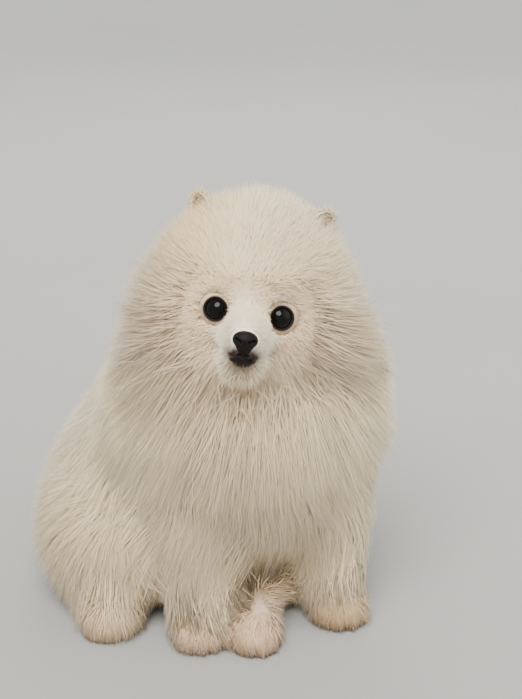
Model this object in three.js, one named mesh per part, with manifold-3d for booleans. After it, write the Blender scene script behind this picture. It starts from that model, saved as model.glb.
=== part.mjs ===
// A pomeranian sitting on the floor, life size, in millimetres.
// +Z is up and the dog's chest faces -Y, so its left side is +X. The feet and the rump rest on z = 0.
import * as THREE from 'three';
import { mergeVertices } from 'three/addons/utils/BufferGeometryUtils.js';
import Module from 'manifold-3d';

const wasm = await Module();
wasm.setup();

// Driving dimensions
const sittingHeight = 290;                          // floor to the tips of the crown
const headTurn = 18;                                // degrees, the face turns to the dog's right
const headLift = 13;                                // degrees, the nose is raised
const headTilt = 8;                                 // degrees, the crown leans to the dog's left
const eyeSpacing = 37.5;                            // between the middles of the eyes
const eyeRadius = 8.4;
const eyeForward = 21;                              // from the skull's centre, along the muzzle
const eyeDrop = 6;                                  // below the skull's centre
const lidThickness = 1.5;
const eyeOpening = [7.4, 7];                        // half the width and height between the lids
const noseForward = 56;
const noseDrop = 18.5;
const noseSize = [7.4, 6, 6.6];                     // half the width, depth and height
const earHeight = 40;
const earHalfWidth = 13;
const earWall = 2.4;
const pawLength = 34;
const pawWidth = 28;
const pawHeight = 22;
const clawLength = 9;
const clawRadius = 1.7;
const clawBend = 2;                                 // how far the tip curves down
const clawSlope = 188;                              // degrees about the toe, 180 is level
const gap = 0.35;                                   // left between neighbouring pieces
const coreShare = 0.42;                             // how far out the dense undercoat reaches
const rootSink = 7;                                 // how deep a lock is rooted in its core
const coatClearance = 1.2;                          // the lowest that a lock hangs above the floor
const headCentre = new THREE.Vector3(-3, 44, sittingHeight - 72);

const finish = (color, roughness) => new THREE.MeshStandardMaterial({ color, roughness, metalness: 0 });
const creamCoat = finish(0xe9dfcd, 0.95);
const tanCoat = finish(0xdcc5a0, 0.95);
const pinkSkin = finish(0xd9c0ad, 0.9);
const darkEye = finish(0x0b0908, 0.08);
const noseLeather = finish(0x14100f, 0.5);
const horn = finish(0x3a302a, 0.4);

const vector = (x, y, z) => new THREE.Vector3(x, y, z);
const up = vector(0, 0, 1);
const degrees = THREE.MathUtils.degToRad;
const { lerp, clamp } = THREE.MathUtils;

const headFrame = new THREE.Matrix4()
  .makeRotationFromEuler(new THREE.Euler(degrees(-headLift), degrees(headTilt), degrees(-headTurn), 'ZXY'))
  .setPosition(headCentre);
const onHead = (x, y, z) => vector(x, y, z).applyMatrix4(headFrame);
const headTurned = (x, y, z) => vector(x, y, z).transformDirection(headFrame);

// Solids

function solidOf(geometry) {
  const bare = geometry.clone();
  bare.deleteAttribute('normal');
  bare.deleteAttribute('uv');
  const merged = mergeVertices(bare, 1e-4);
  return new wasm.Manifold(new wasm.Mesh({
    numProp: 3,
    vertProperties: merged.attributes.position.array,
    triVerts: new Uint32Array(merged.index.array),
  }));
}

function geometryOf(solid) {
  const mesh = solid.getMesh();
  const geometry = new THREE.BufferGeometry();
  geometry.setAttribute('position', new THREE.BufferAttribute(mesh.vertProperties, 3));
  geometry.setIndex(new THREE.BufferAttribute(mesh.triVerts, 1));
  geometry.computeVertexNormals();
  return geometry;
}

const joined = (solids) => wasm.Manifold.union(solids);
const without = (solid, cutters) => wasm.Manifold.difference([solid, ...cutters]);

// The largest closed surface of a solid: sealed hollows and loose scraps are dropped.
const largestOf = (solid) => solid.decompose().sort((a, b) => b.volume() - a.volume())[0];

function ball(centre, radii, frame, columns = 12, rows = 8) {
  const geometry = new THREE.SphereGeometry(1, columns, rows);
  geometry.scale(...radii).translate(...centre);
  if (frame) geometry.applyMatrix4(frame);
  return solidOf(geometry);
}

// A round bar with rounded ends along a curve, of the given radius at its middle.
function cordAlong(points, radius, frame, sides = 6, steps = 10) {
  const curve = new THREE.CatmullRomCurve3(points);
  const section = new THREE.Shape();
  section.absarc(0, 0, radius, 0, Math.PI * 2);
  const geometry = new THREE.ExtrudeGeometry(section, {
    extrudePath: curve, steps, curveSegments: sides / 2 });
  geometry.applyMatrix4(frame);
  return solidOf(geometry);
}

// Distance fields: a form of the body is a smooth union of ellipsoids and tapered limbs.

function blob(x, y, z, rx, ry, rz, frame) {
  const back = frame ? frame.clone().invert() : new THREE.Matrix4();
  const middle = vector(x, y, z);
  const radii = vector(rx, ry, rz);
  const squares = radii.clone().multiply(radii);
  return (p) => {
    const q = p.clone().applyMatrix4(back).sub(middle);
    const k0 = q.clone().divide(radii).length();
    const k1 = q.divide(squares).length();
    return k1 < 1e-9 ? -Math.min(rx, ry, rz) : k0 * (k0 - 1) / k1;
  };
}

function limb(a, b, ra, rb, frame = new THREE.Matrix4()) {
  const start = a.clone().applyMatrix4(frame);
  const run = b.clone().applyMatrix4(frame).sub(start);
  return (p) => {
    const q = p.clone().sub(start);
    const t = clamp(q.dot(run) / run.lengthSq(), 0, 1);
    return q.addScaledVector(run, -t).length() - lerp(ra, rb, t);
  };
}

function melt(a, b, k) {
  const h = Math.max(k - Math.abs(a - b), 0) / k;
  return Math.min(a, b) - h * h * k / 4;
}
const blend = (forms, k) => (p) => forms.reduce((d, form) => melt(d, form(p), k), 1e3);
const carve = (form, hollow, k) => (p) => -melt(-form(p), hollow(p), k);
const aboveFloor = (form, level = 0) => (p) => Math.max(form(p), level - p.z);
const swollen = (form, by) => (p) => form(p) - by;

// The dense core of a part: some of the way from its flesh to the tips of its coat.
const coreOf = (flesh, coat, level = 0) => aboveFloor(
  (p) => (1 - coreShare) * flesh(p) + coreShare * coat(p), level);

function normalOf(form, p) {
  const step = 0.6;
  const at = (axis, by) => form(p.clone().addScaledVector(axis, by));
  const slope = (axis) => at(axis, step) - at(axis, -step);
  return vector(slope(vector(1, 0, 0)), slope(vector(0, 1, 0)), slope(up)).normalize();
}

// How far along a ray from inside a form its surface lies.
function reach(form, origin, direction, longest = 260) {
  let s = 0;
  for (let i = 0; i < 60 && s < longest; i++) {
    const d = -form(origin.clone().addScaledVector(direction, s));
    if (d < 0.01) break;
    s += d * 0.9;
  }
  return Math.min(s, longest);
}

// A closed solid whose vertices lie on a form as seen from one point inside it, with its poles along an axis.
function formSolid({ form, centre, axis = up, columns, rows, level = 0 }, swell = 0) {
  const geometry = new THREE.SphereGeometry(1, columns, rows);
  const turn = new THREE.Quaternion().setFromUnitVectors(vector(0, 1, 0), axis.clone().normalize());
  const position = geometry.attributes.position;
  const bound = swell ? swollen(form, swell) : form;
  for (let i = 0; i < position.count; i++) {
    const direction = vector().fromBufferAttribute(position, i).applyQuaternion(turn).normalize();
    const p = centre.clone().addScaledVector(direction, reach(bound, centre, direction));
    if (!swell && p.z < level + 0.1) p.z = level;
    position.setXYZ(i, p.x, p.y, p.z);
  }
  return solidOf(geometry);
}

// Head

const skull = blend([
  blob(0, 4, 2, 31, 37, 29, headFrame),
  blob(16, -10, -12, 14, 18, 14, headFrame),
  blob(-16, -10, -12, 14, 18, 14, headFrame),
  limb(vector(0, -20, -14), vector(0, -47, -17.5), 15, 11, headFrame),
  limb(vector(0, -20, -25), vector(0, -44, -27), 10, 6.5, headFrame),
], 10);
const headCoat = blend([
  carve(
    blend([
      blob(0, 8, 6, 68, 44, 66, headFrame),
      blob(0, -4, -22, 65, 40, 44, headFrame),
    ], 16),
    blob(0, -62, -13, 36, 42, 32, headFrame), 12),
  swollen(skull, 1.5),
], 5);
const headCore = [{
  form: coreOf(skull, headCoat),
  centre: onHead(0, -4, -8),
  axis: headTurned(0, -1, 0),
  columns: 24,
  rows: 20,
}];

const eyeAt = (side) => onHead(side * (eyeSpacing / 2 - 0.6), -eyeForward, -eyeDrop);
const eyeAim = (side) => headTurned(side * 0.3, -1, 0.06).normalize();

function eyeFrame(side) {
  const turn = new THREE.Quaternion().setFromUnitVectors(vector(0, -1, 0), eyeAim(side));
  return new THREE.Matrix4().makeRotationFromQuaternion(turn).setPosition(eyeAt(side));
}

const lidShell = (side, swell) => ball(
  [0, 0, 0], Array(3).fill(eyeRadius + lidThickness + swell), eyeFrame(side), 14, 8);
function lidOpening(side) {
  const [halfWidth, halfHeight] = eyeOpening;
  return ball([0, -eyeRadius * 1.2, 0], [halfWidth, eyeRadius, halfHeight], eyeFrame(side), 14, 6);
}
const eyeBall = (side, swell = 0) => ball([0, 0, 0], Array(3).fill(eyeRadius + swell), eyeFrame(side), 14, 8);

const lipLine = [-12.5, -9, -4.5, 0, 4.5, 9, 12.5].map((x) => {
  const share = Math.abs(x) / 12.5;
  return vector(x, lerp(-57, -31, share ** 1.7), -25.5 - 2.4 * Math.sin(share * Math.PI));
});
const lips = (swell) => cordAlong(
  lipLine.map((p) => p.clone().add(vector(0, 0.8, 1.1))), 2 + swell, headFrame);
const mouthCut = () => cordAlong(lipLine.map((p) => p.clone().add(vector(0, 0, -1.6))), 0.9, headFrame);

function makeNose(swell = 0) {
  const [width, depth, height] = noseSize.map((half) => half + swell);
  const pad = joined([
    ball([0, -noseForward, 1 - noseDrop], [width, depth, height * 0.82], headFrame),
    ball([0, 0.6 - noseForward, -2.4 - noseDrop], [width * 0.62, depth * 0.9, height * 0.8], headFrame),
  ]);
  if (swell) return pad;
  const nostrils = [-1, 1].map((side) => joined([
    ball([side * 3.3, -noseForward - depth + 0.6, -noseDrop], [1.5, 2.2, 1.2], headFrame, 6, 4),
    ball([side * 5.2, -noseForward - depth + 2, 0.9 - noseDrop], [1.9, 2.2, 0.8], headFrame, 6, 4),
  ]));
  const philtrum = ball([0, -noseForward - depth - 0.2, -4 - noseDrop], [0.6, 1.6, 5], headFrame, 6, 5);
  return without(pad, [...nostrils, philtrum]);
}

// Ears: thin cups that open forwards, low in the coat of the crown

function earFrame(side) {
  const lift = new THREE.Euler(degrees(-6), degrees(side * 27), degrees(side * 22), 'YXZ');
  const place = new THREE.Matrix4().makeRotationFromEuler(lift).setPosition(side * 24, 3, 25);
  return headFrame.clone().multiply(place);
}

function earCup(side, thin) {
  const back = earFrame(side).invert();
  return (p) => {
    const q = p.clone().applyMatrix4(back);
    const share = clamp((q.z + 6) / (earHeight + 6 - thin), 0, 1);
    const halfWidth = Math.max((earHalfWidth - thin) * Math.sqrt(1 - share ** 2.2), 0.5);
    const halfDepth = halfWidth * 0.62;
    const across = (Math.hypot(q.x / halfWidth, q.y / halfDepth) - 1) * halfDepth;
    return Math.max(across, q.z - earHeight + thin, -6 - q.z);
  };
}
const earSolid = (side, swell = 0) => {
  const frame = earFrame(side);
  const outer = formSolid({
    form: earCup(side, 0),
    centre: vector(0, 0, 12).applyMatrix4(frame),
    axis: vector(0, 0, 1).transformDirection(frame),
    columns: 10, rows: 8, level: -1e3,
  }, swell);
  if (swell) return outer;
  const hollow = formSolid({
    form: earCup(side, earWall),
    centre: vector(0, 0, 12).applyMatrix4(frame),
    axis: vector(0, 0, 1).transformDirection(frame),
    columns: 8, rows: 6, level: -1e3,
  });
  const middle = vector(0, 0, 0).applyMatrix4(frame);
  const forwards = vector(0, -earWall * 1.8, 1.5).applyMatrix4(frame).sub(middle);
  return without(outer, [hollow.translate(forwards.toArray())]);
};

// Neck, torso and tail

const neckFlesh = limb(vector(-3, 58, 206), vector(0, 82, 150), 30, 42);
const ruffCoat = blend([
  blob(-2, 48, 178, 79, 62, 56),
  blob(-2, 88, 176, 68, 50, 54),
], 20);
const neckCore = [{ form: coreOf(neckFlesh, ruffCoat), centre: vector(-2, 70, 176), columns: 16, rows: 9 }];

const torsoFlesh = blend([
  blob(0, 70, 128, 48, 50, 60),
  blob(-8, 102, 88, 50, 54, 54),
  blob(-28, 128, 58, 54, 52, 56),
], 22);
const torsoCoat = aboveFloor(blend([
  blob(0, 62, 122, 86, 83, 78),
  blob(-12, 104, 104, 86, 84, 86),
  blob(-32, 124, 62, 92, 84, 72),
], 24));
const torsoCore = [{
  form: coreOf(torsoFlesh, torsoCoat),
  centre: vector(-12, 92, 92),
  columns: 18,
  rows: 12,
}];

const tailSpine = new THREE.CatmullRomCurve3([
  vector(-30, 168, 46),
  vector(-29, 194, 76),
  vector(-22, 198, 114),
  vector(-12, 182, 150),
  vector(-5, 156, 176),
]);
const tailPoints = tailSpine.getPoints(8);
const alongTail = (r0, r1) => blend(tailPoints.slice(1).map((p, i) => (
  limb(tailPoints[i], p, lerp(r0, r1, i / 8), lerp(r0, r1, (i + 1) / 8)))), 8);
const tailFlesh = alongTail(11, 6);
const tailCoat = alongTail(24, 32);
const tailCore = [{
  form: coreOf(tailFlesh, tailCoat),
  centre: tailSpine.getPoint(0.5),
  columns: 10,
  rows: 12,
}];

// Legs

const forelegs = { right: -43, left: 47 };          // where each wrist stands, across the body
const foreWrist = (x) => vector(x, 27, 22);
function foreleg(x) {
  const shoulder = vector(x * 0.8, 48, 124);
  const elbow = vector(x * 0.95, 42, 84);
  const wrist = vector(x, 28, 26);
  const flesh = blend([limb(shoulder, elbow, 23, 15), limb(elbow, wrist, 14.5, 9.5)], 8);
  const feathered = blend([
    limb(vector(x * 0.9, 42, 122), vector(x, 33, 66), 30, 25),
    limb(vector(x, 33, 66), vector(x, 28, 24), 25, 18),
  ], 8);
  return {
    coat: aboveFloor(feathered, 8),
    core: [{ form: coreOf(flesh, feathered, 8), centre: vector(x, 33, 58), columns: 10, rows: 10, level: 8 }],
  };
}

const hindlegs = {
  right: {
    coat: aboveFloor(blend([
      blob(-86, 100, 44, 46, 60, 52),
      limb(vector(-86, 96, 20), vector(-94, 60, 17), 24, 16),
    ], 14)),
    core: [
      { form: aboveFloor(blob(-80, 99, 44, 36, 51, 46)), centre: vector(-80, 98, 36), columns: 14, rows: 9 },
      {
        form: aboveFloor(limb(vector(-85, 92, 17), vector(-94, 56, 14), 17, 13)),
        centre: vector(-89, 76, 12),
        columns: 8,
        rows: 6,
      },
    ],
  },
  left: {
    coat: aboveFloor(blend([
      blob(50, 108, 44, 44, 58, 50),
      limb(vector(50, 76, 34), vector(8, 52, 18), 24, 16),
      limb(vector(8, 52, 18), vector(-7, 16, 15), 16, 12),
    ], 12)),
    core: [
      { form: aboveFloor(blob(47, 108, 44, 36, 51, 45)), centre: vector(47, 106, 36), columns: 14, rows: 9 },
      {
        form: aboveFloor(limb(vector(44, 84, 30), vector(8, 52, 15), 19, 13)),
        centre: vector(26, 68, 20),
        columns: 8,
        rows: 6,
      },
      {
        form: aboveFloor(limb(vector(9, 54, 15), vector(-7, 14, 11), 13, 10)),
        centre: vector(1, 34, 11),
        columns: 8,
        rows: 6,
      },
    ],
  },
};

// Paws: four toes over a pad, each toe with its claw

const pawPlaces = {
  forepaw_right: { at: vector(-45.3, 1, 0), turn: 4, scale: 1 },
  forepaw_left: { at: vector(46.5, -1, 0), turn: -6, scale: 1.04 },
  hindpaw_right: { at: vector(-96, 33, 0), turn: 8, scale: 1 },
  hindpaw_left: { at: vector(-9.3, -10.5, 0), turn: 20, scale: 0.86 },
};
const toeSpread = [-10.4, -3.9, 3.9, 10.4];
const toeReach = [-4.4, 0, 0, -4.4];
const pawFrame = ({ at, turn, scale }) => new THREE.Matrix4().compose(
  at, new THREE.Quaternion().setFromAxisAngle(up, degrees(turn)), vector(scale, scale, scale));

function pawForm(place) {
  const frame = pawFrame(place);
  const toes = toeSpread.map((x, i) => blob(x, 8.5 - toeReach[i], 6.5, 5.4, 9.5, 7.6, frame));
  return {
    form: aboveFloor(blend([
      ...toes,
      blob(0, 20, 9, pawWidth / 2 - 1, pawLength / 2, pawHeight / 2, frame),
    ], 3)),
    centre: vector(0, 15, 7).applyMatrix4(frame),
    columns: 18,
    rows: 8,
  };
}

function clawSolid(place, i) {
  const root = vector(toeSpread[i] * 1.04, 3.2 - toeReach[i], 6.2);
  const geometry = new THREE.ConeGeometry(clawRadius, clawLength, 4, 2);
  const position = geometry.attributes.position;
  for (let k = 0; k < position.count; k++) {
    const along = position.getY(k) / clawLength + 0.5;
    position.setZ(k, position.getZ(k) + clawBend * along * along);
  }
  geometry.translate(0, clawLength / 2, 0).rotateX(degrees(clawSlope)).translate(...root);
  return solidOf(geometry.applyMatrix4(pawFrame(place)));
}

// The cores in the order in which they keep their shape: each later one is cut clear of those before it.

const coreSolid = (parts, swell = 0) => joined(parts.map((part) => formSolid(part, swell)));
const boxesMeet = (a, b) => [0, 1, 2].every((k) => a.min[k] < b.max[k] && b.min[k] < a.max[k]);

const pieces = new Map();
const swollenPieces = [];
function settle(name, solid, material, fat) {
  const box = solid.boundingBox();
  const near = swollenPieces.filter((other) => boxesMeet(other.box, box)).map((other) => other.solid);
  pieces.set(name, { solid: largestOf(without(solid, near)), material });
  swollenPieces.push({ name, solid: fat, box: fat.boundingBox() });
}
const settleCore = (name, core, material) => settle(name, coreSolid(core), material, coreSolid(core, gap));

const sides = { right: -1, left: 1 };
for (const [word, side] of Object.entries(sides)) {
  settle('eye_' + word, eyeBall(side), darkEye, eyeBall(side, gap));
}
settle('nose', makeNose(), noseLeather, makeNose(gap));
for (const [word, side] of Object.entries(sides)) {
  settle('ear_' + word, earSolid(side), tanCoat, earSolid(side, gap));
}
const headShape = (swell) => joined([
  coreSolid(headCore, swell), lidShell(-1, swell), lidShell(1, swell), lips(swell)]);
const head = without(headShape(0), [lidOpening(-1), lidOpening(1), mouthCut()]);
settle('head', head, creamCoat, headShape(gap));
settleCore('neck', neckCore, creamCoat);
settleCore('torso', torsoCore, creamCoat);
for (const [name, place] of Object.entries(pawPlaces)) settleCore(name, [pawForm(place)], pinkSkin);
for (const [word, x] of Object.entries(forelegs)) settleCore('foreleg_' + word, foreleg(x).core, creamCoat);
for (const [word, leg] of Object.entries(hindlegs)) settleCore('hindleg_' + word, leg.core, creamCoat);
settleCore('tail', tailCore, creamCoat);
for (const [name, place] of Object.entries(pawPlaces)) {
  toeSpread.forEach((x, i) => {
    const claw = clawSolid(place, i);
    settle(name.replace('paw', 'claw') + '_' + (i + 1), claw, horn, claw);
  });
}

// Locks: flat, tapered and bent, each rooted in its core with its tip on the coat's outer surface

function randomFrom(seed) {
  let state = seed;
  return (low = 0, high = 1) => {
    state = (state + 0x6d2b79f5) | 0;
    let t = Math.imul(state ^ (state >>> 15), 1 | state);
    t = (t + Math.imul(t ^ (t >>> 7), 61 | t)) ^ t;
    return lerp(low, high, ((t ^ (t >>> 14)) >>> 0) / 4294967296);
  };
}

const lockStations = [0, 0.42, 0.8];                // along the lock, the tip is at 1
const lockWidths = [0.8, 1, 0.6];
const lockDepths = [1, 1, 0.65];
const lockLifts = [0.42, 0.55, 0.68, 0.8];          // how high the bend stands, the first clear one is used
const lockShortest = 9;
const lowestRoot = 6;                               // above the floor
const tipBeyond = 1.03;                             // the tips pass the coat's surface by a hair

function lockSolid({ root, normal, tip, lift, width, depth }, swell = 0) {
  const start = root.clone().addScaledVector(normal, -rootSink);
  const span = tip.distanceTo(root);
  const knee = root.clone().addScaledVector(normal, span * lift);
  const curve = new THREE.QuadraticBezierCurve3(start, knee, tip);
  const position = [];
  for (const [i, t] of lockStations.entries()) {
    const p = curve.getPoint(t);
    const along = curve.getTangent(t);
    const across = vector().crossVectors(along, normal).normalize();
    if (across.lengthSq() < 0.5) across.set(1, 0, 0);
    const out = vector().crossVectors(across, along).normalize();
    const halfWidth = width * lockWidths[i] / 2 + swell * 5;
    const halfDepth = depth * lockDepths[i] / 2 + swell;
    for (const [sideways, outwards] of [[halfWidth, -halfDepth], [0, halfDepth], [-halfWidth, -halfDepth]]) {
      position.push(...p.clone().addScaledVector(across, sideways).addScaledVector(out, outwards));
    }
  }
  const end = curve.getPoint(1).addScaledVector(curve.getTangent(1), swell * 3);
  position.push(...end);
  const index = [0, 1, 2];
  const last = lockStations.length - 1;
  for (let k = 0; k < 3; k++) {
    const next = (k + 1) % 3;
    for (let ring = 0; ring < last; ring++) {
      const [a, b] = [ring * 3 + k, ring * 3 + next];
      index.push(a, a + 3, b, b, a + 3, b + 3);
    }
    index.push(last * 3 + k, (last + 1) * 3, last * 3 + next);
  }
  const make = (triVerts) => new wasm.Manifold(new wasm.Mesh({
    numProp: 3, vertProperties: new Float32Array(position), triVerts: new Uint32Array(triVerts),
  }));
  const solid = make(index);
  return solid.volume() > 0 ? solid : make(index.reverse());
}

const coreForms = new Map([
  ['head', headCore],
  ['neck', neckCore],
  ['torso', torsoCore],
  ['tail', tailCore],
  ...Object.entries(forelegs).map(([word, x]) => ['foreleg_' + word, foreleg(x).core]),
  ...Object.entries(hindlegs).map(([word, leg]) => ['hindleg_' + word, leg.core]),
]);
const isCovered = (name, p) => [...coreForms].some(([other, core]) => (
  other !== name && core.some((part) => part.form(p) < 2)));

// Roots spread evenly over the bare part of a core, at least the given distance apart.
function scatter(name, core, spacing, keep) {
  const places = [];
  const golden = Math.PI * (3 - Math.sqrt(5));
  const tries = 2400;
  for (const part of core) {
    for (let i = 0; i < tries; i++) {
      const z = 1 - (2 * i + 1) / tries;
      const ring = Math.sqrt(1 - z * z);
      const direction = vector(ring * Math.cos(golden * i), ring * Math.sin(golden * i), z);
      const root = part.centre.clone().addScaledVector(direction, reach(part.form, part.centre, direction));
      const inside = core.some((other) => other !== part && other.form(root) < 0);
      if (inside || root.z < lowestRoot || !keep(root)) continue;
      if (places.some((place) => place.root.distanceTo(root) < spacing) || isCovered(name, root)) continue;
      places.push({ root, normal: normalOf(part.form, root) });
    }
  }
  return places;
}

// One lock's size and the way it leans, with its tip on the coat's outer surface.
function lockShape({ root, normal }, outer, { width, depth, stand, lie, longest }, random) {
  const flow = lie(root).normalize();
  const lean = stand * random(0.8, 1.2);
  const size = random(0.85, 1.15);
  const aside = random(-0.18, 0.18);
  const aim = normal.clone().multiplyScalar(lean).addScaledVector(flow, 1 - lean);
  aim.addScaledVector(vector().crossVectors(normal, flow), aside).normalize();
  const span = Math.min(reach(outer, root, aim), longest * size);
  if (span < lockShortest) return null;
  const tip = root.clone().addScaledVector(aim, span * tipBeyond);
  return { root, normal, tip, width: width * size, depth: depth * size };
}

// A lock bent clear of the pieces around it, or else cut clear of them where most of it is left.
function clearLock(shape, piece, obstacles) {
  let trial;
  let hits;
  for (const lift of lockLifts) {
    trial = lockSolid({ ...shape, lift }).trimByPlane([0, 0, 1], coatClearance / 2);
    const box = trial.boundingBox();
    hits = obstacles.filter((other) => boxesMeet(other.box, box))
      .filter((other) => !trial.intersect(other.solid).isEmpty());
    if (!hits.length) return { solid: trial, fat: lockSolid({ ...shape, lift }, gap) };
  }
  const rest = largestOf(without(trial, hits.map((other) => other.solid)));
  const held = rest && rest.volume() > 0.5 * trial.volume() && rest.intersect(piece.solid).volume() > 1;
  return held ? { solid: rest, fat: lockSolid({ ...shape, lift: lockLifts.at(-1) }, gap) } : null;
}

const grownLocks = [];
function growLocks(name, { core, coat, spacing, keep = () => true, seed, ...look }) {
  const random = randomFrom(seed);
  const piece = pieces.get(name);
  const outer = aboveFloor(coat, coatClearance + look.depth);
  const obstacles = [...swollenPieces, ...grownLocks].filter((other) => other.name !== name);
  const rooted = scatter(name, core, spacing, keep)
    .map((place) => lockShape(place, outer, look, random))
    .filter((shape) => shape)
    .map((shape) => clearLock(shape, piece, obstacles))
    .filter((lock) => lock);
  for (const { fat } of rooted) grownLocks.push({ name, solid: fat, box: fat.boundingBox() });
  piece.solid = largestOf(joined([piece.solid, ...rooted.map((lock) => lock.solid)]));
}

const toHead = headFrame.clone().invert();
const headLie = (p) => {
  const q = p.clone().applyMatrix4(toHead);
  return headTurned(q.x, 0, q.z + 12).addScaledVector(headTurned(0, 1, 0), 0.45);
};
const offFace = (p) => {
  const q = p.clone().applyMatrix4(toHead);
  return q.y > -20 || Math.hypot(q.x / 30, (q.z + 8) / 30) > 1;
};
const ruffLie = (p) => vector(p.x * 0.006, (p.y - 68) * 0.006, -1);
const torsoLie = (p) => vector(p.x * 0.003, 0.25 + (p.y - 90) * 0.004, -1);
const legLie = () => vector(0, 0.35, -1);
const thighLie = (side) => () => vector(side * 0.25, 0.2, -1);
const tailLie = (p) => {
  const t = tailPoints.reduce((best, point, i) => (
    point.distanceTo(p) < tailPoints[best].distanceTo(p) ? i : best), 0) / 8;
  return tailSpine.getTangent(t);
};

for (const [word, x] of Object.entries(forelegs)) {
  const { core, coat } = foreleg(x);
  growLocks('foreleg_' + word, {
    core, coat, spacing: 24, width: 23, depth: 4.5, stand: 0.34, lie: legLie, longest: 40, seed: 11 + x });
}
for (const [word, { core, coat }] of Object.entries(hindlegs)) {
  growLocks('hindleg_' + word, {
    core, coat, spacing: 30, width: 30, depth: 5, stand: 0.4, lie: thighLie(sides[word]), longest: 48,
    seed: 21 + sides[word] });
}
growLocks('torso', {
  core: torsoCore, coat: torsoCoat, spacing: 37, width: 41, depth: 6.5, stand: 0.36, lie: torsoLie,
  longest: 80, seed: 31 });
growLocks('tail', {
  core: tailCore, coat: tailCoat, spacing: 30, width: 31, depth: 5.5, stand: 0.42, lie: tailLie,
  longest: 50, seed: 41 });
growLocks('neck', {
  core: neckCore, coat: ruffCoat, spacing: 25, width: 33, depth: 6, stand: 0.4, lie: ruffLie,
  longest: 78, seed: 51 });
growLocks('head', {
  core: headCore, coat: headCoat, spacing: 19, width: 25, depth: 5.5, stand: 0.55, lie: headLie,
  longest: 52, keep: offFace, seed: 61 });

// The whole dog, its box centred on the origin with its feet at z = 0

const dog = new THREE.Group();
for (const [name, { solid, material }] of pieces) {
  const mesh = new THREE.Mesh(geometryOf(solid), material);
  mesh.name = name;
  dog.add(mesh);
}
const extent = new THREE.Box3().setFromObject(dog);
const middle = extent.getCenter(vector(0, 0, 0));
dog.position.set(-middle.x, -middle.y, 0);

export default dog;
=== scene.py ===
import math
import bmesh
import bpy
import numpy as np
from mathutils import Matrix, Vector, kdtree


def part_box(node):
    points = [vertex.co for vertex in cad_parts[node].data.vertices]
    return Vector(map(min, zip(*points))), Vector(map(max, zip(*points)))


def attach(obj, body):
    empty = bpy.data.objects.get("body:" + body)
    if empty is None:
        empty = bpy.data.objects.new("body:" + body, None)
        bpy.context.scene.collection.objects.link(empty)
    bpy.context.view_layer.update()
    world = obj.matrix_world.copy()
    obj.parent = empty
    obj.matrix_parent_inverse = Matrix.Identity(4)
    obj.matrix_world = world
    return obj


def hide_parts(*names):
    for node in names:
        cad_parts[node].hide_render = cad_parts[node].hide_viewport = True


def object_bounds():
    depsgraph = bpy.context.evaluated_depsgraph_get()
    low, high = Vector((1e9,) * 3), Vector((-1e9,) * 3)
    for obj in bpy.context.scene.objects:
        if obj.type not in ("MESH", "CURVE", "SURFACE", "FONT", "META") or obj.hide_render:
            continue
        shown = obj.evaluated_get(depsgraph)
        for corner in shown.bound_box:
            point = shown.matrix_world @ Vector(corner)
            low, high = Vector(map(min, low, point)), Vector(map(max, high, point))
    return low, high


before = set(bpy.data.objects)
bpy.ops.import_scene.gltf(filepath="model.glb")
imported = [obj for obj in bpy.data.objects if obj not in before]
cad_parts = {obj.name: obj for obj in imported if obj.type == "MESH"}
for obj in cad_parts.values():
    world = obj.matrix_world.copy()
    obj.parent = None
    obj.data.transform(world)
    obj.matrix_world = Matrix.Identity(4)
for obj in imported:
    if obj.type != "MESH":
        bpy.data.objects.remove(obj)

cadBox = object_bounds()

# Measures are in the dog's own millimetres: it faces -Y, its left side is +X, the floor is z = 0.
pose = {
    "headCentre": (-3, 44, 218),
    "headTurn": 18,      # degrees to the dog's right
    "headLift": 13,
    "headTilt": 8,
    "eyeSpacing": 37.5,
    "eyeForward": 21,
    "eyeDrop": 6,
}


def rotation(axis, angle):
    return np.array(Matrix.Rotation(math.radians(angle), 3, axis))


headCentre = np.array(pose["headCentre"], float)
headTurn = (rotation("Z", -pose["headTurn"]) @ rotation("X", -pose["headLift"])
            @ rotation("Y", pose["headTilt"]))


def headward(directions):
    return np.asarray(directions, float) @ headTurn.T


def onHead(points):
    return headward(points) + headCentre


def inHead(points):
    return (points - headCentre) @ headTurn


def eyeAt(side):
    return onHead((side * (pose["eyeSpacing"] / 2 - 0.6), -pose["eyeForward"], -pose["eyeDrop"]))


sides = {"right": -1, "left": 1}
shift = np.mean([np.array(sum(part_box("eye_" + word), Vector())) * 500 - eyeAt(side)
                 for word, side in sides.items()], axis=0)


def toFrame(points):
    return (np.asarray(points, float) + shift) * 0.001


# Distance fields of the body

def ellipsoid(middle, radii):
    middle, radii = np.array(middle, float), np.array(radii, float)

    def field(p):
        q = p - middle
        scaled, slope = q / radii, q / radii ** 2
        k0 = np.sqrt((scaled * scaled).sum(1))
        k1 = np.sqrt((slope * slope).sum(1)) + 1e-9
        return k0 * (k0 - 1) / k1
    return field


def limb(start, end, startRadius, endRadius):
    start, end = np.array(start, float), np.array(end, float)
    run = end - start

    def field(p):
        q = p - start
        t = np.clip(q @ run / (run @ run), 0, 1)
        away = q - t[:, None] * run
        return np.sqrt((away * away).sum(1)) - startRadius - (endRadius - startRadius) * t
    return field


def melt(a, b, k):
    h = np.maximum(k - np.abs(a - b), 0) / k
    return np.minimum(a, b) - h * h * k / 4


def blend(fields, k):
    def field(p):
        made = fields[0](p)
        for other in fields[1:]:
            made = melt(made, other(p), k)
        return made
    return field


def carve(form, hollow, k):
    return lambda p: -melt(-form(p), hollow(p), k)


def swollen(form, by):
    return lambda p: form(p) - by


def ofHead(form):
    # a form given in the head's measures
    return lambda p: form(inHead(p))


def share(flesh, coat, part):
    return lambda p: (1 - part) * flesh(p) + part * coat(p)


def slopeOf(field, p, step=0.8):
    corners = np.array([(1, -1, -1), (-1, -1, 1), (-1, 1, -1), (1, 1, 1)], float)
    made = sum(corner * field(p + corner * step)[:, None] for corner in corners)
    return made / (4 * step)


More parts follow.
